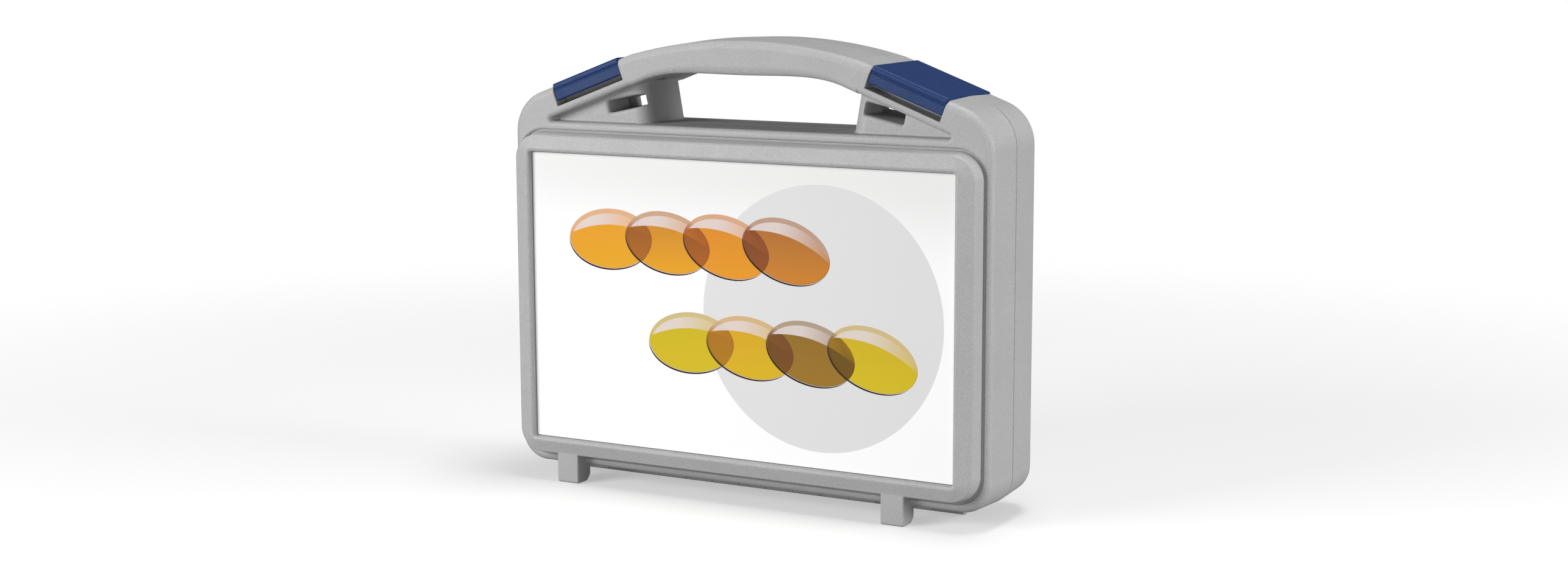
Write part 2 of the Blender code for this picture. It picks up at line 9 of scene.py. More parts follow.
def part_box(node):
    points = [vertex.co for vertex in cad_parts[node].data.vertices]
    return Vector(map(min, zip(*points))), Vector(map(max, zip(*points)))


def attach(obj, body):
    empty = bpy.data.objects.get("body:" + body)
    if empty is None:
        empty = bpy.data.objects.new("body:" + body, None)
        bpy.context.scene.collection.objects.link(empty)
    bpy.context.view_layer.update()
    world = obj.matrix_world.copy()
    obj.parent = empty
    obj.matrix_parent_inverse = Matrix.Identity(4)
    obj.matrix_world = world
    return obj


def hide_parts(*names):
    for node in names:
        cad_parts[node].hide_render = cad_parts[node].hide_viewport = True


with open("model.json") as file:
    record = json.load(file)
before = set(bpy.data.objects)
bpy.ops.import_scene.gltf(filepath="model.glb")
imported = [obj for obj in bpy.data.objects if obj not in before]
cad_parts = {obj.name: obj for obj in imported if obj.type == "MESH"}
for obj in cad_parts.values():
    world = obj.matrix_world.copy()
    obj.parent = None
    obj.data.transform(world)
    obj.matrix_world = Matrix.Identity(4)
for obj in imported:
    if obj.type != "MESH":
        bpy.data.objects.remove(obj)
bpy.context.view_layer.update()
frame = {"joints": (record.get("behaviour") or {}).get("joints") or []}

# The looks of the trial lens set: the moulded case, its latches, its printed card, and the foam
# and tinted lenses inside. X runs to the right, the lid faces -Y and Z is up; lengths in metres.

JOINTS = {joint["name"]: joint for joint in frame["joints"]}
LID_LOW, LID_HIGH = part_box("lid_shell")
TRAY_LOW, TRAY_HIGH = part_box("tray_foam")
CARD_LOW, CARD_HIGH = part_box("label_card")

# Case outline in the front view
HALF_WIDTH = LID_HIGH.x
TOP = LID_HIGH.z
CREST = -LID_LOW.y
BOTTOM = 0.0076
BOTTOM_RADIUS = 0.015
SHOULDER_RADIUS = 0.022
SLOPE = math.radians(20.4)
SLOPE_POINT = (0.1123, 0.2066)
ARCH_RADIUS = 0.258
ARCH_HALF_SPAN = 0.066

# Case depth, measured from the parting plane at Y = 0
PARTING_GAP = 0.0006
PARTING_CHAMFER = 0.0002
SEAL_GAP = 0.00004
SEAL_INSET = 0.0009
SEAL_DEPTH = 0.0020
FACE = 0.0270
EDGE_RADIUS = 0.0040
DRAFT = 0.0010
WALL = 0.0025
OVERCUT = 0.002  # how far a cutter runs past the parting plane, or into the next cutter
OUTSIDE = 0.0300  # where a cutter ends in front of the face

# Raised frame round the card
FRAME_HALF_WIDTH = 0.1306
FRAME_LOW = 0.0139
FRAME_HIGH = 0.1825
FRAME_RADIUS = 0.0135
GROOVE_WIDTH = 0.0026
GROOVE_DEPTH = 0.0013
RIDGE = 0.0347
FRAME_LIP = (  # drop below the crest, growth past the card, corner radius
    (0.0004, 0.0030, 0.0040),
    (0.0001, 0.0022, 0.0032),
    (0.0, 0.0016, 0.0026),
    (0.0002, 0.0009, 0.0020),
    (0.0007, 0.0003, 0.0014),
    (0.0016, 0.0001, 0.0012),
)
CARD_RADIUS = 0.0010
CARD_GAP = 0.0003
CARD_HALF_WIDTH = CARD_HIGH.x + CARD_GAP
CARD_BOTTOM = CARD_LOW.z - CARD_GAP
CARD_TOP = CARD_HIGH.z + CARD_GAP
CARD_FLOOR = -CARD_HIGH.y - CARD_GAP

# Handle opening, webs and strap slots
OPENING_LOW = 0.1882
GRIP_LOW = 0.2136
GRIP_RISE = 1.15  # with x squared, under the middle of the grip
GRIP_DROP = 650  # with the fourth power of x, towards its ends
WEB_FACE = 0.0205
WEB_BACK = 0.0170
WEB_TIP = (0.1120, 0.1892)
RECESS_ROUND = 0.0024
WEB_TIP_RADIUS = 0.0010
WEB_EDGE_ROUND = 0.0080
SLOT_SIZE = (0.0212, 0.0062)
SLOT_CENTRES = ((-0.0708, 0.1983), (0.0757, 0.1984))
SLOT_ANGLE = math.radians(12.0)
SLOT_LEAD_IN = 0.0018
SLOT_WALL = 0.0018

# Latches, in section: v runs along Y and w along the slope's outward normal
LATCH_LENGTH = 0.0417
LATCH_CENTRE = 0.0920
LATCH_TOP = 0.0003
LATCH_THICKNESS = 0.0022
LATCH_FRONT = 0.0262
LATCH_LIP = 0.0087
LATCH_PIVOT = (0.0223, -0.0025)
LATCH_BARREL = 0.0028
LATCH_EDGE = 0.00035
HOLE_OVERHANG = 0.0034
POCKET_BACK = 0.0190
POCKET_LOW = -0.0116
POCKET_FLOOR = -0.0023
THROAT_BACK = 0.0160
THROAT_TOP = -0.0062
SIDE_GAP = 0.0004
ROOF_WALL = 0.0019  # between the finger recess and the hollow under it

# Rail hinge and feet
HINGE_HEIGHT = JOINTS["lid_hinge"]["pos_m"][2]
KNUCKLE_RADIUS = 0.0032
KNUCKLE_PITCH = 0.0159
KNUCKLES = 14
KNUCKLE_GAP = 0.0004
BORE_RADIUS = 0.0013
FOOT_SPANS = ((-0.1068, -0.0941), (0.0812, 0.0938))
FOOT_FRONT = 0.0346
FOOT_BACK = 0.0225
FOOT_TOP = 0.0160
FOOT_CHAMFER = 0.0030

# Inside of the case
CAVITY_TOP = 0.1816
CAVITY_DEPTH = 0.0245
DEEP_HALF_WIDTH = 0.1265
DEEP_LOW = 0.0175
DEEP_HIGH = 0.1790
DEEP_DEPTH = 0.0302
DEEP_RADIUS = 0.0090
FOAM_EDGE = 0.0009
FOAM_CORNER = 0.0125
FLOOR_FOAM_EDGE = 0.0004

# Lenses
LENS_COUNT = 8
LENS_SIDES = 96
RIM_RADIUS = 0.0190
RIM_INNER = 0.0163
RIM_THICKNESS = 0.0032
GLASS_THICKNESS = 0.0020
TAB_WIDTH = 0.0090
TAB_LENGTH = 0.0075
TAB_THICKNESS = 0.0016
POCKET_RADIUS = 0.0204
TAB_SIDE_CLEARANCE = 0.0014
TAB_END_CLEARANCE = 0.0012

ARC_STEP = math.radians(5.0)
SMOOTH_ANGLE = math.radians(32.0)
NEAR = 1e-6  # tolerance in metres for picking and merging vertices
CUTTERS = bpy.data.collections.new("cutters")
bpy.context.scene.collection.children.link(CUTTERS)


# Outlines: lists of (x, z) points in the front view, counter-clockwise


def arc(centre, radius, start, end):
    steps = max(2, math.ceil(abs(end - start) / ARC_STEP))
    angles = [start + (end - start) * i / steps for i in range(steps + 1)]
    return [(centre[0] + radius * math.cos(a), centre[1] + radius * math.sin(a)) for a in angles]


def rounded_rectangle(half_width, low, high, radius):
    x = half_width - radius
    quarter = math.pi / 2
    corners = ((x, low + radius), (x, high - radius), (-x, high - radius), (-x, low + radius))
    points = []
    for i, corner in enumerate(corners):
        points += arc(corner, radius, (i - 1) * quarter, i * quarter)
    return points


def slope_height(x, below=0.0):
    return SLOPE_POINT[1] - (abs(x) - SLOPE_POINT[0]) * math.tan(SLOPE) - below / math.cos(SLOPE)


def arch_height(x, below=0.0):
    radius = ARCH_RADIUS - below
    return TOP - ARCH_RADIUS + math.sqrt(radius * radius - x * x)


def mirrored(right_half):
    """Closes an outline whose right half runs upwards from the bottom."""
    return right_half + [(-x, z) for x, z in reversed(right_half) if abs(x) > 1e-9]


def rounded_corners(points, radii):
    """Outline whose corner at each point is turned into an arc of the given radius."""
    made = []
    for i, point in enumerate(points):
        here = Vector(point)
        back = (Vector(points[i - 1]) - here).normalized()
        on = (Vector(points[(i + 1) % len(points)]) - here).normalized()
        half = back.angle(on) / 2
        radius = radii[i]
        if radius <= 0 or half > math.radians(88):
            made.append(point)
            continue
        reach = radius / math.tan(half)
        centre = here + (back + on).normalized() * (radius / math.sin(half))
        first = here + back * reach - centre
        sweep = first.angle_signed(here + on * reach - centre)
        steps = max(2, math.ceil(abs(sweep) / (2 * ARC_STEP)))
        start = math.atan2(first.y, first.x)
        for k in range(steps + 1):
            a = start - sweep * k / steps
            made.append((centre.x + radius * math.cos(a), centre.y + radius * math.sin(a)))
    return made


def case_outline(inset=0.0):
    corner = (HALF_WIDTH - BOTTOM_RADIUS, BOTTOM + BOTTOM_RADIUS)
    shoulder_x = HALF_WIDTH - SHOULDER_RADIUS
    shoulder = (shoulder_x, slope_height(shoulder_x, SHOULDER_RADIUS))
    steps = 14
    arch = [(x, arch_height(x, inset)) for x in (ARCH_HALF_SPAN * i / steps for i in range(steps, -1, -1))]
    return mirrored(
        arc(corner, BOTTOM_RADIUS - inset, -math.pi / 2, 0)
        + arc(shoulder, SHOULDER_RADIUS - inset, 0, math.pi / 2 - SLOPE)
        + arch
    )


def web_line(x):
    """Height of the upper edge of the recesses over the webs."""
    return WEB_TIP[1] + WEB_TIP_RADIUS / math.cos(SLOPE) + (WEB_TIP[0] - x) * math.tan(SLOPE)


def opening_outline(widen, grow=0.0, lift=0.0):
    """Handle opening, widened at its sides, grown all round, or lifted under the middle of the grip."""
    sill, foot_x, head_x = OPENING_LOW - grow, 0.0574 + widen, 0.0606 + widen
    corner, grip_end = 0.0013, 0.0585
    head_z = web_line(head_x) - corner + grow
    right = [(foot_x - 0.0015, sill), (foot_x - 0.0005, sill + 0.0004), (foot_x, sill + 0.0014)]
    right += [(head_x, head_z), (head_x - 0.0002, head_z + 0.0007), (head_x - 0.0008, head_z + corner)]
    steps = 14
    for i in range(steps + 1):
        x = grip_end * (1 - i / steps)
        lifted = grow + lift * (1 - (x / grip_end) ** 2)
        right.append((x, GRIP_LOW + GRIP_RISE * x**2 - GRIP_DROP * x**4 + lifted))
    return mirrored(right)


def web_outline(side, grow):
    """Triangular recess over a web; side is 1 at the right and -1 at the left."""
    inner = 0.0640
    tip = arc(WEB_TIP, WEB_TIP_RADIUS + grow, -math.pi / 2, math.pi / 2 - SLOPE)
    inner_top = tip[-1][1] + (tip[-1][0] - inner) * math.tan(SLOPE)
    right = [(inner, tip[0][1]), *tip, (inner, inner_top)]
    return [(side * x, z) for x, z in (right if side > 0 else reversed(right))]


def slot_outline(centre, grow):
    angle = -SLOT_ANGLE if centre[0] > 0 else SLOT_ANGLE
    half_height = SLOT_SIZE[1] / 2 + grow
    flat = rounded_rectangle(SLOT_SIZE[0] / 2 + grow, -half_height, half_height, 0.0010 + grow / 2)
    cos, sin = math.cos(angle), math.sin(angle)
    return [(centre[0] + x * cos - z * sin, centre[1] + x * sin + z * cos) for x, z in flat]


# Solids


def object_from_bmesh(name, bm, collection=None):
    mesh = bpy.data.meshes.new(name)
    bm.to_mesh(mesh)
    bm.free()
    obj = bpy.data.objects.new(name, mesh)
    (collection or bpy.context.scene.collection).objects.link(obj)
    return obj


def loft(name, sections, collection=CUTTERS):
    """Skin over front-view outlines with equal numbers of points, each at its own Y."""
    bm = bmesh.new()
    rings = [[bm.verts.new((x, y, z)) for x, z in outline] for y, outline in sections]
    count = len(rings[0])
    for ring, following in zip(rings, rings[1:]):
        for i in range(count):
            j = (i + 1) % count
            bm.faces.new((ring[i], ring[j], following[j], following[i]))
    bm.faces.new(rings[0])
    bm.faces.new(rings[-1])
    bmesh.ops.recalc_face_normals(bm, faces=bm.faces)
    return object_from_bmesh(name, bm, collection)


def plate(name, outline, y_from, y_to, collection=CUTTERS):
    return loft(name, [(y_from, outline), (y_to, outline)], collection)


def extruded(name, outline, low, high, collection=CUTTERS):
    """Outline in the local XY plane, extruded along the local Z axis."""
    obj = plate(name, outline, -high, -low, collection)
    obj.data.transform(Matrix.Rotation(-math.pi / 2, 4, "X"))
    return obj


def extruded_along_x(name, outline, low, high):
    """Outline of (y, z) points, extruded along X."""
    obj = extruded(name, outline, low, high)
    obj.data.transform(Matrix(((0, 0, 1, 0), (1, 0, 0, 0), (0, 1, 0, 0), (0, 0, 0, 1))))
    return obj


def rod(name, radius, length, centre, direction, collection=CUTTERS, sides=48):
    bm = bmesh.new()
    bmesh.ops.create_cone(bm, cap_ends=True, segments=sides, radius1=radius, radius2=radius, depth=length)
    turn = Vector((0, 0, 1)).rotation_difference(Vector(direction)).to_matrix().to_4x4()
    bm.transform(Matrix.Translation(centre) @ turn)
    return object_from_bmesh(name, bm, collection)


def turned(name, profile, steps):
    """Closed ring or disc turned about the local Z axis from (radius, height) points."""
    bm = bmesh.new()
    verts = [bm.verts.new((r, 0, h)) for r, h in profile]
    for a, b in zip(verts, verts[1:] + verts[:1]):
        if a.co.x > 1e-9 or b.co.x > 1e-9:
            bm.edges.new((a, b))
    bmesh.ops.spin(
        bm, geom=bm.verts[:] + bm.edges[:], cent=(0, 0, 0), axis=(0, 0, 1),
        angle=2 * math.pi, steps=steps, use_merge=False,
    )
    bmesh.ops.remove_doubles(bm, verts=bm.verts, dist=NEAR)
    bmesh.ops.recalc_face_normals(bm, faces=bm.faces)
    return object_from_bmesh(name, bm, CUTTERS)


def joined(name, pieces):
    """One mesh from several that don't touch."""
    bm = bmesh.new()
    for piece in pieces:
        bm.from_mesh(piece.data)
        bpy.data.objects.remove(piece, do_unlink=True)
    return object_from_bmesh(name, bm, CUTTERS)


def boolean(target, tool, operation):
    modifier = target.modifiers.new(tool.name, "BOOLEAN")
    modifier.operation = operation
    modifier.object = tool
    tool.hide_render = True
    tool.display_type = "WIRE"


def settle(obj):
    """Applies an object's modifiers and forgets its cutters."""
    tools = [m.object for m in obj.modifiers if m.type == "BOOLEAN"]
    graph = bpy.context.evaluated_depsgraph_get()
    mesh = bpy.data.meshes.new_from_object(obj.evaluated_get(graph))
    obj.modifiers.clear()
    obj.data = mesh
    for tool in tools:
        bpy.data.objects.remove(tool, do_unlink=True)
    return obj


def bevel_edges(obj, chosen, offset, segments):
    """Rounds the sharp edges whose two ends both satisfy a test on their position."""
    bm = bmesh.new()
    bm.from_mesh(obj.data)
    edges = [e for e in bm.edges if all(chosen(v.co) for v in e.verts) and e.calc_face_angle(0) > 0.6]
    bmesh.ops.bevel(bm, geom=edges, offset=offset, segments=segments, profile=0.5, affect="EDGES")
    bm.to_mesh(obj.data)
    bm.free()


def dress(obj, material, body, slot, *replaced):
    """Smooth shading, material, body and the CAD nodes that a finished piece stands for."""
    obj.data.materials.clear()
    obj.data.materials.append(material)
    obj.data.shade_smooth()
    obj.data.set_sharp_from_angle(angle=SMOOTH_ANGLE)
    weights = obj.modifiers.new("weighted_normals", "WEIGHTED_NORMAL")
    weights.keep_sharp = True
    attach(obj, body)
    if replaced:
        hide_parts(*replaced)
    return obj


# Materials


def new_material(name, **sockets):
    material = bpy.data.materials.new(name)
    material.use_nodes = True
    shader = material.node_tree.nodes["Principled BSDF"]
    for key, value in sockets.items():
        shader.inputs[key.replace("_", " ")].default_value = value
    return material, material.node_tree, shader


def give(tree, node, inputs):
    """Sets a node's inputs, or links them where a socket is given."""
    for key, value in inputs.items():
        if isinstance(value, bpy.types.NodeSocket):
            tree.links.new(value, node.inputs[key])
        else:
            node.inputs[key].default_value = value


def add(tree, kind, settings=None, inputs=None):
    """A node with its settings made and its inputs given; its first output comes back."""
    made = tree.nodes.new(kind)
    for key, value in (settings or {}).items():
        setattr(made, key, value)
    give(tree, made, inputs or {})
    return made.outputs[0]


def object_point(tree):
    return tree.nodes.new("ShaderNodeTexCoord").outputs["Object"]


def noise(tree, point, scale, detail=2.0, roughness=0.5):
    return add(
        tree, "ShaderNodeTexNoise", None,
        {"Vector": point, "Scale": scale, "Detail": detail, "Roughness": roughness},
    )


def spread(tree, value, low, high, out_low=0.0, out_high=1.0, kind="LINEAR"):
    return add(
        tree, "ShaderNodeMapRange", {"interpolation_type": kind},
        {"Value": value, "From Min": low, "From Max": high, "To Min": out_low, "To Max": out_high},
    )


def calc(tree, operation, a, b=0.0):
    return add(tree, "ShaderNodeMath", {"operation": operation}, {0: a, 1: b})


def blended(tree, factor, a, b, kind="MIX"):
    """Mix of two colours."""
    made = tree.nodes.new("ShaderNodeMix")
    made.data_type = "RGBA"
    made.blend_type = kind
    give(tree, made, {0: factor, 6: a, 7: b})
    return made.outputs[2]


def shade(colour, factor):
    return (*(min(1.0, c * factor) for c in colour[:3]), 1.0)


def moulded_plastic(name, colour, roughness, speckle, grain, specular=0.4):
    """Spark-eroded moulded plastic: fine grain, faint speckle and slow unevenness of tone and gloss."""
    material, tree, shader = new_material(name, Specular_IOR_Level=specular)
    point = object_point(tree)
    dots = spread(tree, noise(tree, point, 1300, 3.0, 0.6), 0.34, 0.66)
    tone = blended(tree, dots, shade(colour, 1 - speckle), shade(colour, 1 + speckle))
    cloud = spread(tree, noise(tree, point, 35, 3.0), 0.3, 0.7)
    tone = blended(tree, cloud, tone, shade((0.5, 0.5, 0.5), 1.06), "SOFT_LIGHT")
    tree.links.new(tone, shader.inputs["Base Color"])
    gloss = spread(tree, noise(tree, point, 90, 4.0), 0.3, 0.7, roughness - 0.05, roughness + 0.07)
    tree.links.new(gloss, shader.inputs["Roughness"])
    edge = add(tree, "ShaderNodeBevel", {"samples": 4}, {"Radius": 0.00035})
    bump = add(
        tree, "ShaderNodeBump", None,
        {"Strength": grain, "Distance": 0.0002, "Height": noise(tree, point, 1700, 2.0), "Normal": edge},
    )
    tree.links.new(bump, shader.inputs["Normal"])
    return material


def foam_material():
    """Closed-cell cutting foam: dark, matt, with open cells at its cut faces."""
    material, tree, shader = new_material(
        "cut_foam", Roughness=0.95, Sheen_Weight=0.25, Specular_IOR_Level=0.15
    )
    point = object_point(tree)
    cells = add(tree, "ShaderNodeTexVoronoi", None, {"Vector": point, "Scale": 900.0})
    cells = spread(tree, cells, 0.0, 0.6)
    tone = blended(tree, cells, (0.012, 0.012, 0.013, 1.0), (0.045, 0.045, 0.049, 1.0))
    dust = spread(tree, noise(tree, point, 60, 4.0), 0.35, 0.75)
    tone = blended(tree, dust, tone, (0.055, 0.055, 0.060, 1.0))
    tree.links.new(tone, shader.inputs["Base Color"])
    bump = add(tree, "ShaderNodeBump", None, {"Strength": 0.55, "Distance": 0.0005, "Height": cells})
    tree.links.new(bump, shader.inputs["Normal"])
    return material


def steel_material():
    """Drawn steel rod: fine lines along the rod."""
    material, tree, shader = new_material("drawn_steel", Metallic=1.0)
    stretched = add(
        tree, "ShaderNodeMapping", None, {"Vector": object_point(tree), "Scale": (0.06, 1.0, 1.0)}
    )
    lines = noise(tree, stretched, 2600, 3.0)
    tone = blended(tree, lines, (0.42, 0.42, 0.43, 1.0), (0.70, 0.70, 0.71, 1.0))
    tree.links.new(tone, shader.inputs["Base Color"])
    tree.links.new(spread(tree, lines, 0.3, 0.7, 0.22, 0.40), shader.inputs["Roughness"])
    return material


def rim_material():
    """Black satin lens rim with worn, slightly lighter patches."""
    material, tree, shader = new_material("satin_black", Specular_IOR_Level=0.5)
    point = object_point(tree)
    wear = spread(tree, noise(tree, point, 260, 4.0, 0.65), 0.45, 0.75)
    tone = blended(tree, wear, (0.010, 0.010, 0.011, 1.0), (0.040, 0.040, 0.042, 1.0))
    tree.links.new(tone, shader.inputs["Base Color"])
    tree.links.new(spread(tree, wear, 0.0, 1.0, 0.30, 0.46), shader.inputs["Roughness"])
    bump = add(
        tree, "ShaderNodeBump", None,
        {"Strength": 0.15, "Distance": 0.0001, "Height": noise(tree, point, 3000, 2.0)},
    )
    tree.links.new(bump, shader.inputs["Normal"])
    return material


def glass_material(number, tint):
    """Tinted filter glass, its tone drifting slightly at random."""
    material, tree, shader = new_material(
        f"tinted_glass_{number}", Roughness=0.03, Transmission_Weight=0.72, IOR=1.50, Coat_Weight=0.3
    )
    drift = spread(tree, noise(tree, object_point(tree), 45, 2.0), 0.3, 0.7)
    tone = blended(tree, drift, shade(tint, 0.86), shade(tint, 1.08))
    tree.links.new(tone, shader.inputs["Base Color"])
    return material


# Printed card: eight tinted ellipses over a plain pale disc, worked out in card coordinates

PRINT_SEMI_AXES = (0.0247, 0.0153)
PRINT_PITCH = 0.0339
PRINT_ROWS = (
    (-0.0724, 0.1305, ("amber", "russet", "orange", "copper")),
    (-0.0252, 0.0808, ("yellow", "honey", "brown", "lemon")),
)
PRINT_TILTS = (1.6, -10.0, -13.5, -16.5)
PRINT_INKS = {
    "amber": ((0.74, 0.35, 0.006), (0.74, 0.29, 0.008)),
    "russet": ((0.74, 0.33, 0.006), (0.47, 0.17, 0.014)),
    "orange": ((0.74, 0.29, 0.008), (0.63, 0.21, 0.010)),
    "copper": ((0.56, 0.20, 0.016), (0.31, 0.11, 0.020)),
    "yellow": ((0.62, 0.46, 0.008), (0.56, 0.43, 0.006)),
    "honey": ((0.66, 0.42, 0.008), (0.62, 0.33, 0.008)),
    "brown": ((0.31, 0.16, 0.014), (0.24, 0.13, 0.012)),
    "lemon": ((0.62, 0.47, 0.009), (0.57, 0.39, 0.008)),
}
PAPER = (0.93, 0.93, 0.93, 1.0)
# paper in painted shade, used towards the top of the card
SHADED_PAPER = (0.70, 0.70, 0.69, 1.0)
PALE_INK = (0.70, 0.70, 0.707, 1.0)
DISC_CENTRE = (0.048, 0.098)
DISC_RADIUS = 0.0660


def printed_lens_group():
    """Node group that prints one tinted lens over the colour that comes in."""
    group = bpy.data.node_groups.new("printed_lens", "ShaderNodeTree")
    for name, kind in (
        ("Under", "NodeSocketColor"), ("Cover", "NodeSocketFloat"), ("X", "NodeSocketFloat"),
        ("Z", "NodeSocketFloat"), ("Ink", "NodeSocketColor"), ("Rim", "NodeSocketColor"),
    ):
        group.interface.new_socket(name, in_out="INPUT", socket_type=kind)
    group.interface.new_socket("Print", in_out="OUTPUT", socket_type="NodeSocketColor")
    group.interface.new_socket("Cover", in_out="OUTPUT", socket_type="NodeSocketFloat")
    given = group.nodes.new("NodeGroupInput").outputs
    x, z = given["X"], given["Z"]

    def length(a, b):
        squares = [calc(group, "MULTIPLY", value, value) for value in (a, b)]
        return calc(group, "SQRT", calc(group, "ADD", *squares))

    def inside(distance, limit, soft):
        return spread(group, distance, limit - soft, limit + soft, 1.0, 0.0)

    def shifted(dx, dz):
        return length(calc(group, "ADD", x, dx), calc(group, "ADD", z, dz))

    def mirrored_out(value):
        return calc(group, "SUBTRACT", 1.0, value)

    radius = length(x, z)
    disc = inside(radius, 1.0, 0.012)
    edge = calc(group, "MULTIPLY", inside(shifted(0.018, 0.066), 1.0, 0.010), mirrored_out(disc))
    warm = spread(group, calc(group, "ADD", z, calc(group, "MULTIPLY", x, -0.45)), -0.9, 0.5)
    ink = blended(group, calc(group, "MULTIPLY", warm, 0.55), given["Ink"], given["Rim"])
    density = add(group, "ShaderNodeRGBToBW", None, {0: given["Under"]})
    behind = blended(group, 1.0, density, (1.35, 0.95, 1.20, 1.0), "MULTIPLY")
    behind = blended(group, given["Cover"], (1.0, 1.0, 1.0, 1.0), behind)
    tinted = blended(group, 1.0, ink, behind, "MULTIPLY")
    outline = calc(group, "MULTIPLY", spread(group, radius, 0.965, 0.990), disc)
    tinted = blended(group, calc(group, "MULTIPLY", outline, 0.45), tinted, given["Rim"], "MULTIPLY")
    gloss_top = inside(length(x, calc(group, "ADD", z, 0.13)), 0.965, 0.010)
    bowl = calc(group, "ADD", z, calc(group, "MULTIPLY", calc(group, "MULTIPLY", x, x), 0.34))
    fade = spread(group, x, -0.3, 0.95, 0.90, 0.12)
    gloss = calc(group, "MULTIPLY", gloss_top, spread(group, bowl, 0.455, 0.470))
    gloss = calc(group, "MULTIPLY", gloss, fade)
    crescent = calc(group, "MULTIPLY", mirrored_out(gloss_top), spread(group, z, 0.1, 0.4))
    pale = blended(group, 0.42, (0.62, 0.53, 0.48, 1.0), given["Rim"])
    tinted = blended(group, calc(group, "MULTIPLY", crescent, 0.75), tinted, pale)
    tinted = blended(group, gloss, tinted, (0.70, 0.62, 0.60, 1.0))
    dark = blended(group, 1.0, given["Rim"], (0.05, 0.035, 0.035, 1.0), "MULTIPLY")
    under = blended(group, edge, given["Under"], dark)
    given_back = group.nodes.new("NodeGroupOutput").inputs
    group.links.new(blended(group, disc, under, tinted), given_back["Print"])
    covered = calc(group, "MAXIMUM", given["Cover"], calc(group, "MAXIMUM", disc, edge))
    group.links.new(covered, given_back["Cover"])
    return group


def card_material():
    """Matt printed card: paper with painted shade towards its top, the pale disc and the two rows of
    lenses.
    """
    material, tree, shader = new_material("printed_card", Roughness=0.5, Specular_IOR_Level=0.22)
    point = object_point(tree)
    split = tree.nodes.new("ShaderNodeSeparateXYZ")
    tree.links.new(point, split.inputs[0])
    x, z = split.outputs["X"], split.outputs["Z"]
    flat = add(tree, "ShaderNodeCombineXYZ", None, {"X": x, "Y": z})
    # painted shade: the paper darkens smoothly towards the top of the card
    shadow = spread(tree, z, 0.118, 0.172, 0.0, 0.60, "SMOOTHSTEP")
    paper = blended(tree, shadow, PAPER, SHADED_PAPER)
    away = add(tree, "ShaderNodeVectorMath", {"operation": "DISTANCE"}, {0: flat, 1: (*DISC_CENTRE, 0.0)})
    distance = away.node.outputs["Value"]
    soft = 0.0002
    disc = spread(tree, distance, DISC_RADIUS - soft, DISC_RADIUS + soft, 1.0, 0.0)
    paper = blended(tree, disc, paper, PALE_INK)
    group = printed_lens_group()
    stack, cover = PAPER, 0.0
    for first_x, row_z, inks in PRINT_ROWS:
        for i, (ink, tilt) in enumerate(zip(inks, PRINT_TILTS)):
            centre = (first_x + i * PRINT_PITCH, row_z, 0.0)
            placed = add(tree, "ShaderNodeMapping", {"vector_type": "TEXTURE"}, {
                "Vector": flat,
                "Location": centre,
                "Rotation": (0.0, 0.0, math.radians(tilt)),
                "Scale": (*PRINT_SEMI_AXES, 1.0),
            })
            local = tree.nodes.new("ShaderNodeSeparateXYZ")
            tree.links.new(placed, local.inputs[0])
            lens = tree.nodes.new("ShaderNodeGroup")
            lens.node_tree = group
            give(tree, lens, {
                "Under": stack,
                "Cover": cover,
                "X": local.outputs["X"],
                "Z": local.outputs["Y"],
                "Ink": (*PRINT_INKS[ink][0], 1.0),
                "Rim": (*PRINT_INKS[ink][1], 1.0),
            })
            stack, cover = lens.outputs["Print"], lens.outputs["Cover"]
    tree.links.new(blended(tree, cover, paper, stack), shader.inputs["Base Color"])
    bump = add(
        tree, "ShaderNodeBump", None,
        {"Strength": 0.05, "Distance": 0.0001, "Height": noise(tree, point, 500, 2.0)},
    )
    tree.links.new(bump, shader.inputs["Normal"])
    return material


# Case shells

SHELL_GREY = (0.375, 0.375, 0.381)
LATCH_BLUE = (0.010, 0.034, 0.125)


def quarter_round(radius, steps=6):
    """(rise, inset) pairs of a quarter circle, from its wall to its face."""
    angles = [math.pi / 2 * i / steps for i in range(steps + 1)]
    return [(radius * math.sin(a), radius * (1 - math.cos(a))) for a in angles]


def shell_body():
    body = plate("lid_case", case_outline(), -FACE, -PARTING_GAP / 2, bpy.context.scene.collection)
    for vertex in body.data.vertices:
        if vertex.co.y < -FACE / 2:
            vertex.co.x *= 1 - DRAFT / HALF_WIDTH
            vertex.co.z += (TOP / 2 - vertex.co.z) * DRAFT / HALF_WIDTH
    bevel_edges(body, lambda co: co.y < -FACE + NEAR, EDGE_RADIUS, 8)
    bevel_edges(body, lambda co: co.y > -PARTING_GAP, PARTING_CHAMFER, 1)
    return body


def seal():
    """Step behind the outer edge of the parting plane, which closes the gap between the shells."""
    step = plate("seal", case_outline(SEAL_INSET), -SEAL_DEPTH, -SEAL_GAP / 2)
    opening = plate("seal_opening", opening_outline(0, SEAL_INSET), -2 * SEAL_DEPTH, SEAL_DEPTH)
    boolean(step, opening, "DIFFERENCE")
    return settle(step)


def label_frame():
    """Raised frame: a skirt with rounded corners, a broad sloping face and a lip round the card."""

    def ring(y, inset):
        low, high = FRAME_LOW + inset, FRAME_HIGH - inset
        return (-y, rounded_rectangle(FRAME_HALF_WIDTH - inset, low, high, FRAME_RADIUS - inset))

    def inner(y, grow, radius):
        low, high = CARD_BOTTOM - grow, CARD_TOP + grow
        return (-y, rounded_rectangle(CARD_HALF_WIDTH + grow, low, high, radius))

    sections = [ring(FACE - GROOVE_DEPTH - 0.0008, -0.0012), ring(FACE - GROOVE_DEPTH, -0.0010)]
    sections += [ring(FACE - GROOVE_DEPTH + 0.0006, -0.0003), ring(FACE + 0.0008, 0.0)]
    ridge_round = 0.0016
    for rise, inset in quarter_round(ridge_round):
        sections.append(ring(RIDGE - ridge_round + rise, 0.0008 + inset))
    sections += [inner(CREST - drop, grow, radius) for drop, grow, radius in FRAME_LIP]
    sections.append(inner(CARD_FLOOR, 0.0, FRAME_LIP[-1][2]))
    return loft("label_frame", sections)


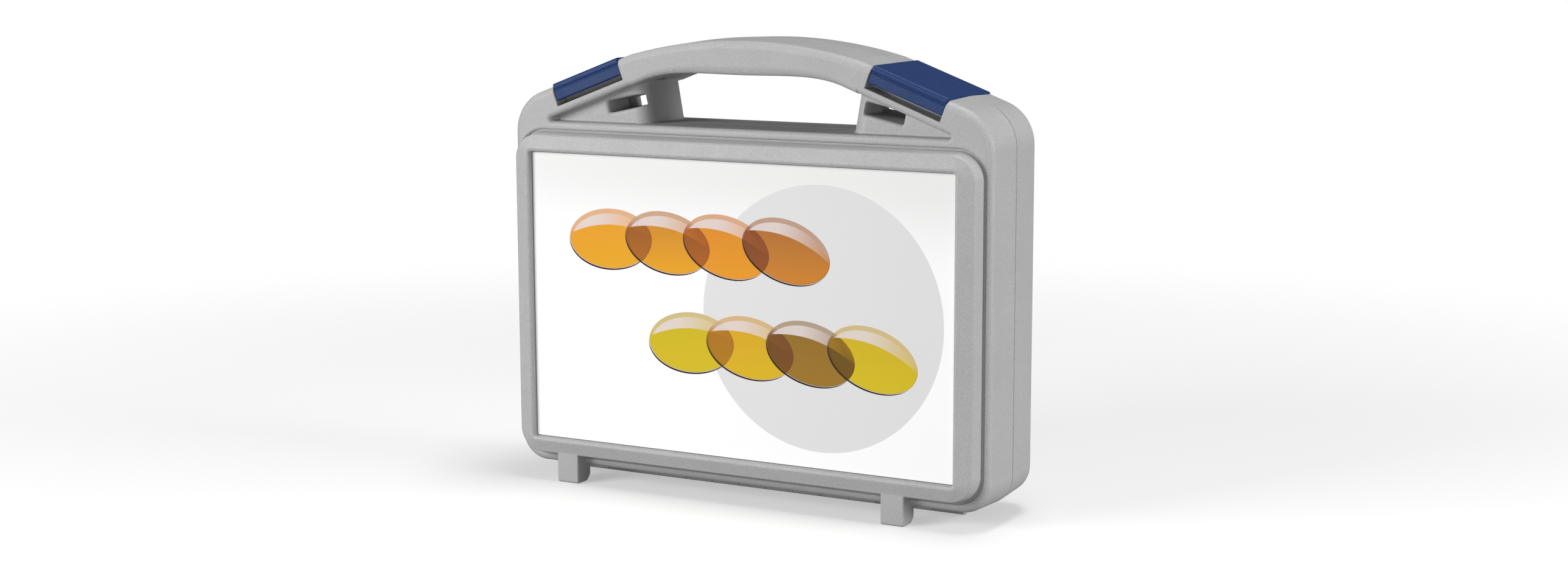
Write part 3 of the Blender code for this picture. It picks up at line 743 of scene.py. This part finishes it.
def frame_bed():
    """Shallow bed that leaves a groove round the raised frame."""
    sections = []
    for rise, inset in quarter_round(GROOVE_DEPTH, 5):
        grow = GROOVE_WIDTH - GROOVE_DEPTH + inset
        low, high = FRAME_LOW - grow, FRAME_HIGH + grow
        outline = rounded_rectangle(FRAME_HALF_WIDTH + grow, low, high, FRAME_RADIUS + grow)
        sections.append((-FACE + GROOVE_DEPTH - rise, outline))
    sections.append((-FACE - 0.0020, sections[-1][1]))
    return loft("frame_bed", sections)


def handle_cutter():
    r = WEB_EDGE_ROUND
    lift = 0.0012
    sections = [(OVERCUT, opening_outline(0)), (-WEB_FACE + r, opening_outline(0, 0, lift / 2))]
    for rise, inset in quarter_round(r, 10)[1:]:
        sections.append((-WEB_FACE + r - rise, opening_outline(inset, 0, lift)))
    for rise, inset in quarter_round(RECESS_ROUND):
        sections.append((-FACE + RECESS_ROUND - rise, opening_outline(r, inset, lift + inset)))
    sections.append((-OUTSIDE, opening_outline(r, RECESS_ROUND, lift + RECESS_ROUND)))
    return loft("handle_cutter", sections)


def web_cutter(side):
    """Recess with a rounded rim in the face and a small fillet at its floor."""
    fillet = 0.0008
    made = [(-WEB_FACE - fillet + rise, -inset) for rise, inset in reversed(quarter_round(fillet, 4))]
    made += [(-FACE + RECESS_ROUND - rise, inset) for rise, inset in quarter_round(RECESS_ROUND)]
    made.append((-OUTSIDE, RECESS_ROUND))
    return loft("web_cutter", [(y, web_outline(side, grow)) for y, grow in made])


def slot_cutter(centre):
    sections = [(OVERCUT, slot_outline(centre, 0.0))]
    for rise, inset in quarter_round(SLOT_LEAD_IN, 6):
        sections.append((-WEB_FACE + SLOT_LEAD_IN - rise, slot_outline(centre, inset)))
    sections.append((-WEB_FACE - 0.0010, slot_outline(centre, SLOT_LEAD_IN)))
    return loft("slot_cutter", sections)


def web_hollow(side, slot_centre):
    """Space behind a web, closed round the strap slot by the slot's own walls."""
    below_latch = -POCKET_LOW + ROOF_WALL
    right = [
        (0.0636, 0.1912),
        (0.1290, 0.1912),
        (0.1270, 0.1965),
        (0.1190, slope_height(0.1190, 0.0032)),
        (0.1145, slope_height(0.1145, below_latch)),
        (0.0640, slope_height(0.0640, below_latch)),
    ]
    outline = [(side * x, z) for x, z in (right if side > 0 else reversed(right))]
    hollow = plate("web_hollow", outline, -WEB_BACK, OVERCUT)
    wall = plate("slot_wall", slot_outline(slot_centre, SLOT_WALL), -OUTSIDE, 2 * OVERCUT)
    boolean(hollow, wall, "DIFFERENCE")
    return settle(hollow)


def grip_hollow():
    half, below = 0.0570, 0.0026
    top = [(half * (1 - i / 8), arch_height(half * (1 - i / 8), below)) for i in range(9)]
    outline = mirrored([(0.0440, 0.2170), (half, 0.2154), *top])
    return plate("grip_hollow", outline, -CAVITY_DEPTH + 0.001, OVERCUT)


def knuckle_row():
    """Every second knuckle of the rail, each with the arm that carries it."""
    pieces = []
    arm_top, arm_gap = BOTTOM + 0.0016, 0.0004
    for i in range(0, KNUCKLES, 2):
        left = (i - KNUCKLES / 2) * KNUCKLE_PITCH + KNUCKLE_GAP / 2
        right = left + KNUCKLE_PITCH - KNUCKLE_GAP
        outline = arc((0, HINGE_HEIGHT), KNUCKLE_RADIUS, math.pi, 2 * math.pi)
        outline += arc((0, HINGE_HEIGHT), KNUCKLE_RADIUS, 0, math.pi / 2)[1:-1]
        outline += [
            (-arm_gap, HINGE_HEIGHT + KNUCKLE_RADIUS),
            (-arm_gap, arm_top),
            (-KNUCKLE_RADIUS, arm_top),
        ]
        pieces.append(extruded_along_x("knuckle", outline, left, right))
    return joined("knuckles", pieces)


def foot(span):
    """Block with soft edges, chamfered under its back."""
    rim = 0.0008
    outline = [(-FOOT_FRONT, 0), (-FOOT_BACK - FOOT_CHAMFER, 0), (-FOOT_BACK, FOOT_CHAMFER)]
    outline += [(-FOOT_BACK, FOOT_TOP), (-FOOT_FRONT, FOOT_TOP)]
    outline = rounded_corners(outline, (0.0012, 0.0008, 0.0008, 0, 0))
    block = extruded_along_x("foot", outline, *span)
    bevel_edges(block, lambda co: min(abs(co.x - end) for end in span) < NEAR, rim, 3)
    return block


def latch_matrix(side):
    """Place of a latch on its shoulder; side is 1 at the right and -1 at the left."""
    normal = Vector((side * math.sin(SLOPE), 0, math.cos(SLOPE)))
    across = Vector((0, 1, 0))
    turn = Matrix((across, normal, across.cross(normal))).transposed().to_4x4()
    return Matrix.Translation((side * LATCH_CENTRE, 0, slope_height(LATCH_CENTRE))) @ turn


def latch_pocket(side):
    outline = [
        (-OUTSIDE, 0.0060),
        (-OUTSIDE, POCKET_LOW),
        (-THROAT_BACK, POCKET_LOW),
        (-THROAT_BACK, THROAT_TOP),
        (-POCKET_BACK, THROAT_TOP),
        (-POCKET_BACK, POCKET_FLOOR),
        (0.0010, POCKET_FLOOR),
        (0.0010, 0.0060),
    ]
    half = LATCH_LENGTH / 2 + SIDE_GAP
    pocket = extruded("latch_pocket", outline, -half, half)
    pocket.data.transform(latch_matrix(side))
    return pocket


def pin_hole(side):
    """Hole for a latch's pin, cut at -Y; the shell's turned copy, the base, has it at +Y."""
    place = latch_matrix(side)
    centre = place @ Vector((-LATCH_PIVOT[0], LATCH_PIVOT[1], 0))
    along = place.to_3x3() @ Vector((0, 0, 1))
    return rod("pin_hole", BORE_RADIUS, LATCH_LENGTH + 2 * HOLE_OVERHANG, centre, along)


def make_shells(material):
    lid = shell_body()
    cavity_half = HALF_WIDTH - WALL - 0.0003
    cavity = rounded_rectangle(cavity_half, BOTTOM + WALL, CAVITY_TOP, FOAM_CORNER)
    deep = rounded_rectangle(DEEP_HALF_WIDTH, DEEP_LOW, DEEP_HIGH, DEEP_RADIUS)
    removed = [
        plate("cavity", cavity, -CAVITY_DEPTH, OVERCUT),
        plate("deep_cavity", deep, -DEEP_DEPTH, -CAVITY_DEPTH + OVERCUT),
        grip_hollow(),
        handle_cutter(),
    ]
    for side, centre in zip((-1, 1), SLOT_CENTRES):
        removed += [web_cutter(side), web_hollow(side, centre), slot_cutter(centre)]
        removed += [latch_pocket(side), pin_hole(side)]
    rail = KNUCKLES * KNUCKLE_PITCH + 0.01
    removed.append(rod("hinge_bore", BORE_RADIUS, rail, (0, 0, HINGE_HEIGHT), (1, 0, 0)))
    boolean(lid, frame_bed(), "DIFFERENCE")
    for tool in [seal(), label_frame(), knuckle_row(), *(foot(span) for span in FOOT_SPANS)]:
        boolean(lid, tool, "UNION")
    for tool in removed:
        boolean(lid, tool, "DIFFERENCE")
    settle(lid)
    base = bpy.data.objects.new("base_case", lid.data.copy())
    base.data.transform(Matrix.Rotation(math.pi, 4, "Z"))
    bpy.context.scene.collection.objects.link(base)
    dress(lid, material, "lid", "shell_plastic", "lid_shell")
    dress(base, material, "base", "shell_plastic", "base_shell")


# Latches and pins


def latch_profile():
    top, low = LATCH_TOP, LATCH_TOP - LATCH_THICKNESS
    front, back = -LATCH_FRONT, -LATCH_FRONT + LATCH_THICKNESS
    pivot_v, pivot_w = LATCH_PIVOT
    nose_round, lip_round, groove = 0.0016, 0.0006, 0.0004
    barrel = arc((pivot_v, pivot_w), LATCH_BARREL, math.pi / 2, -math.pi)
    nose = arc((front + nose_round, top - nose_round), nose_round, math.pi, math.pi / 2)
    lip = arc((front + lip_round, -LATCH_LIP + lip_round), lip_round, 1.5 * math.pi, math.pi)
    heel = arc((back - lip_round, -LATCH_LIP + lip_round), lip_round, 2 * math.pi, 1.5 * math.pi)
    step = -0.0030
    return (
        heel
        + lip
        + [(front, step - 0.0010), (front + groove, step - 0.0004), (front + groove, step)]
        + [(front + groove / 2, step + 0.0004), (front, step + 0.0006)]
        + nose
        + barrel
        + [(pivot_v - LATCH_BARREL, low), (back + 0.0010, low)]
        + [(back + 0.0003, low - 0.0003), (back, low - 0.0010)]
    )


def make_latch(node, side, material):
    half = LATCH_LENGTH / 2
    latch = extruded(f"{node}_lever", latch_profile()[::-1], -half, half, bpy.context.scene.collection)
    bore = rod("latch_bore", BORE_RADIUS, 2 * LATCH_LENGTH, (*LATCH_PIVOT, 0), (0, 0, 1))
    boolean(latch, bore, "DIFFERENCE")
    settle(latch)
    bevel_edges(latch, lambda co: abs(abs(co.z) - half) < NEAR, LATCH_EDGE, 3)
    latch.data.transform(latch_matrix(side))
    return dress(latch, material, node, "latch_plastic", node)


def make_rod(name, node, body, direction, material):
    """Pin with rounded ends in the place of a CAD pin."""
    low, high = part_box(node)
    centre = (low + high) / 2
    across = (high.y - low.y) / 2
    if direction.x > 0.999:
        length = (high - low).length
    else:
        length = (high.x - low.x - 2 * across * abs(direction.z)) / direction.x
    piece = rod(name, across, length, centre, direction, bpy.context.scene.collection)
    caps = [Vector(centre) + direction * (s * length / 2) for s in (-1, 1)]
    bevel_edges(piece, lambda co: min((co - cap).length for cap in caps) < across * 1.01, 0.0003, 3)
    return dress(piece, material, body, "pin_steel", node)


# Foam and lenses


def soft_plate(name, outline, y_front, y_back, rounding):
    """Foam sheet with softly rounded front edges."""
    obj = plate(name, outline, y_front, y_back, bpy.context.scene.collection)
    bevel_edges(obj, lambda co: abs(co.y - y_front) < NEAR, rounding, 4)
    return obj


def foam_outline(node):
    low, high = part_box(node)
    return rounded_rectangle(high.x, low.z, high.z, FOAM_CORNER)


def pocket_outline(x, z):
    """Round pocket with a slot for the rim's tab at its top."""
    half = TAB_WIDTH / 2 + TAB_SIDE_CLEARANCE
    start = math.asin(half / POCKET_RADIUS)
    around = arc((x, z), POCKET_RADIUS, math.pi / 2 + start, 2.5 * math.pi - start)
    top = z + RIM_RADIUS + TAB_LENGTH + TAB_END_CLEARANCE
    return around + [(x + half, top), (x - half, top)]


def lens_centre(number):
    low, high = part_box(f"lens_glass_{number}")
    return (low + high) / 2


def make_foams(material):
    low, high = TRAY_LOW, TRAY_HIGH
    tray = plate("pocket_foam", foam_outline("tray_foam"), low.y, high.y, bpy.context.scene.collection)
    pockets = []
    for number in range(1, LENS_COUNT + 1):
        centre = lens_centre(number)
        pockets.append(plate("pocket", pocket_outline(centre.x, centre.z), low.y - 0.01, high.y + 0.01))
    boolean(tray, joined("pockets", pockets), "DIFFERENCE")
    settle(tray)
    bevel_edges(tray, lambda co: abs(co.y - low.y) < NEAR, FOAM_EDGE, 4)
    floor_low, floor_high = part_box("tray_floor")
    floor = soft_plate("floor_foam", foam_outline("tray_floor"), floor_low.y, floor_high.y, FLOOR_FOAM_EDGE)
    lid_low, lid_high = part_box("lid_foam")
    cover = soft_plate("cover_foam", foam_outline("lid_foam"), lid_high.y, lid_low.y, FOAM_EDGE)
    for piece, body, node in (
        (tray, "base", "tray_foam"), (floor, "base", "tray_floor"), (cover, "lid", "lid_foam"),
    ):
        dress(piece, material, body, "foam", node)


def rim_mesh():
    """Lens rim with a retaining groove and a ribbed tab."""
    half, edge = RIM_THICKNESS / 2, 0.0005
    groove_out, groove_in, depth = 0.0180, 0.0176, 0.0003
    profile = arc((RIM_RADIUS - edge, half - edge), edge, math.pi / 2, 0)
    profile += arc((RIM_RADIUS - edge, -half + edge), edge, 0, -math.pi / 2)
    profile += [(groove_out, -half), (groove_out - 0.0001, -half + depth)]
    profile += [(groove_in + 0.0001, -half + depth), (groove_in, -half)]
    profile += [(RIM_INNER + 0.0003, -half), (RIM_INNER, -half + 0.0003)]
    profile += [(RIM_INNER, half - 0.0003), (RIM_INNER + 0.0003, half)]
    profile += [(groove_in, half), (groove_in + 0.0001, half - depth)]
    profile += [(groove_out - 0.0001, half - depth), (groove_out, half)]
    rim = turned("rim_blank", profile, LENS_SIDES)
    rim.data.transform(Matrix.Rotation(math.pi / 2, 4, "X"))
    tab = plate("tab", tab_outline(), -TAB_THICKNESS / 2, TAB_THICKNESS / 2)
    bevel_edges(tab, lambda co: True, 0.0003, 2)
    grooves = []
    for face in (-1, 1):
        for i in range(3):
            z = RIM_RADIUS + 0.0022 + 0.0015 * i
            centre = (0, face * TAB_THICKNESS / 2, z)
            grooves.append(rod("groove", 0.0003, TAB_WIDTH * 0.6, centre, (1, 0, 0), sides=16))
    boolean(tab, joined("grooves", grooves), "DIFFERENCE")
    settle(tab)
    boolean(rim, tab, "UNION")
    settle(rim)
    mesh = rim.data
    bpy.data.objects.remove(rim, do_unlink=True)
    return mesh


def tab_outline():
    half, low, high = TAB_WIDTH / 2, RIM_RADIUS - 0.0012, RIM_RADIUS + TAB_LENGTH
    corners = [(-half, low), (half, low), (half, high), (-half, high)]
    return rounded_corners(corners, (0, 0, 0.0028, 0.0028))


def glass_mesh():
    """Shallow biconvex glass."""
    radius, half, edge = RIM_INNER - 0.0003, GLASS_THICKNESS / 2, 0.0006
    steps = 16
    front = [(radius * i / steps, half - (half - edge) * (i / steps) ** 2) for i in range(steps + 1)]
    profile = front + [(r, -h) for r, h in reversed(front)]
    glass = turned("glass_blank", profile, LENS_SIDES)
    glass.data.transform(Matrix.Rotation(math.pi / 2, 4, "X"))
    mesh = glass.data
    bpy.data.objects.remove(glass, do_unlink=True)
    return mesh


# One tint for each lens, in the order of their numbers
GLASS_TINTS = (
    (0.90, 0.36, 0.02),
    (0.62, 0.24, 0.06),
    (0.88, 0.42, 0.04),
    (0.55, 0.20, 0.05),
    (0.92, 0.68, 0.03),
    (0.88, 0.48, 0.03),
    (0.42, 0.22, 0.04),
    (0.85, 0.72, 0.05),
)


def make_lenses(black):
    rim_blank, glass_blank = rim_mesh(), glass_mesh()
    for number in range(1, LENS_COUNT + 1):
        place = Matrix.Translation(lens_centre(number))
        for kind, blank in (("rim", rim_blank), ("glass", glass_blank)):
            mesh = blank.copy()
            mesh.transform(place)
            obj = bpy.data.objects.new(f"trial_{kind}_{number}", mesh)
            bpy.context.scene.collection.objects.link(obj)
            slot = "rim_black" if kind == "rim" else f"lens_tint_{number}"
            material = black if kind == "rim" else glass_material(number, GLASS_TINTS[number - 1])
            dress(obj, material, f"lens_{number}", slot, f"lens_{kind}_{number}")


def make_card(material):
    front, back = CARD_LOW.y, CARD_HIGH.y
    outline = rounded_rectangle(CARD_HIGH.x, CARD_LOW.z, CARD_HIGH.z, CARD_RADIUS)
    card = plate("printed_label", outline, front, back, bpy.context.scene.collection)
    bevel_edges(card, lambda co: co.y < front + NEAR, 0.0001, 2)
    return dress(card, material, "lid", "label_card", "label_card")


# Studio

AMBIENT = 0.10
STUDIO_MIDDLE = (0.0, 0.0, 0.12)
SOFTBOXES = (  # name, place, size, watts
    ("key_softbox", (-1.0, -1.4, 0.62), (0.9, 0.9), 29.0),
    ("side_softbox", (1.7, 0.15, 0.45), (0.7, 0.7), 22.5),
    ("top_softbox", (0.2, 0.1, 1.7), (0.8, 0.5), 15.0),
    ("front_softbox", (0.9, -1.7, 0.15), (0.8, 0.4), 8.0),
    ("back_softbox", (-0.9, 1.7, 0.02), (1.2, 0.2), 8.0),
)
FLOOR_HALF_SIZE = 3.0
FLOOR_TONES = ((0.93, 0.93, 0.93, 1.0), (0.96, 0.96, 0.96, 1.0))
FLOOR_FADE = (0.30, 0.90)  # distance at which the floor starts to clear, and is gone
FLOOR_CLEAR = 0.40  # clear share near the object, so that the opened lid shows through
FLOOR_CLEAR_TO_LIGHT = 0.75  # clear share for light, which keeps the bounce low

CAMERA_TURN = (28.594, 9.078, 0.156)  # yaw, pitch and roll in degrees
CAMERA_PLACE = (0.5630, -1.0152, 0.2879)
CAMERA_SENSOR = 36.0
CAMERA_LENS = 53.1


def area_light(name, location, target, size, power):
    light = bpy.data.lights.new(name, "AREA")
    light.shape = "RECTANGLE"
    light.size, light.size_y = size
    light.energy = power
    obj = bpy.data.objects.new(name, light)
    obj.location = location
    obj.rotation_mode = "QUATERNION"
    obj.rotation_quaternion = (Vector(target) - Vector(location)).to_track_quat("-Z", "Y")
    bpy.context.scene.collection.objects.link(obj)


def make_studio():
    """Pale floor, a sky that looks white but gives little light, and the softboxes."""
    bm = bmesh.new()
    bmesh.ops.create_grid(bm, x_segments=1, y_segments=1, size=FLOOR_HALF_SIZE)
    floor = object_from_bmesh("studio_floor", bm)
    material, tree, shader = new_material("pale_floor", Roughness=0.8)
    tone = blended(tree, noise(tree, object_point(tree), 3.0), *FLOOR_TONES)
    tree.links.new(tone, shader.inputs["Base Color"])
    clear = add(tree, "ShaderNodeBsdfTransparent")
    away = add(tree, "ShaderNodeVectorMath", {"operation": "LENGTH"}, {0: object_point(tree)})
    fade = spread(tree, away.node.outputs["Value"], *FLOOR_FADE, FLOOR_CLEAR, 1.0, "SMOOTHSTEP")
    seen = add(tree, "ShaderNodeLightPath")
    bounce = spread(tree, seen, 0.0, 1.0, FLOOR_CLEAR_TO_LIGHT, 0.0)
    fade = calc(tree, "MAXIMUM", fade, bounce)
    mix = add(tree, "ShaderNodeMixShader", None, {0: fade, 1: shader.outputs[0], 2: clear})
    tree.links.new(mix, tree.nodes["Material Output"].inputs["Surface"])
    floor.data.materials.append(material)

    world = bpy.data.worlds.new("studio")
    world.use_nodes = True
    sky = world.node_tree.nodes["Background"]
    sky.inputs["Color"].default_value = (1.0, 1.0, 1.0, 1.0)
    direct = add(world.node_tree, "ShaderNodeLightPath")
    strength = spread(world.node_tree, direct, 0.0, 1.0, AMBIENT, 1.0)
    world.node_tree.links.new(strength, sky.inputs["Strength"])
    bpy.context.scene.world = world
    for name, place, size, power in SOFTBOXES:
        area_light(name, place, STUDIO_MIDDLE, size, power)


def make_camera():
    """Camera fitted to the view in the photograph."""
    yaw, pitch, roll = (math.radians(angle) for angle in CAMERA_TURN)
    level = math.cos(pitch)
    forward = Vector((-math.sin(yaw) * level, math.cos(yaw) * level, -math.sin(pitch)))
    right = Vector((math.cos(yaw), math.sin(yaw), 0.0))
    up = right.cross(forward)
    camera = bpy.data.objects.new("camera", bpy.data.cameras.new("camera"))
    camera.data.sensor_width = CAMERA_SENSOR
    camera.data.lens = CAMERA_LENS
    across = right * math.cos(roll) - up * math.sin(roll)
    above = right * math.sin(roll) + up * math.cos(roll)
    turn = Matrix((across, above, -forward)).transposed().to_4x4()
    camera.matrix_world = Matrix.Translation(CAMERA_PLACE) @ turn
    bpy.context.scene.collection.objects.link(camera)
    bpy.context.scene.camera = camera
    bpy.context.scene.view_settings.view_transform = "Standard"


make_camera()
make_studio()
make_shells(moulded_plastic("grey_shell", SHELL_GREY, 0.52, 0.10, 0.35))
blue = moulded_plastic("blue_latch", LATCH_BLUE, 0.48, 0.22, 0.45, 0.22)
steel = steel_material()
make_rod("hinge_rod", "hinge_pin", "base", Vector((1, 0, 0)), steel)
for side_name, side in (("left", -1), ("right", 1)):
    make_latch(f"latch_{side_name}", side, blue)
    slope_direction = Vector((math.cos(SLOPE), 0, -side * math.sin(SLOPE)))
    make_rod(f"latch_rod_{side_name}", f"latch_pin_{side_name}", "base", slope_direction, steel)
make_card(card_material())
make_foams(foam_material())
make_lenses(rim_material())
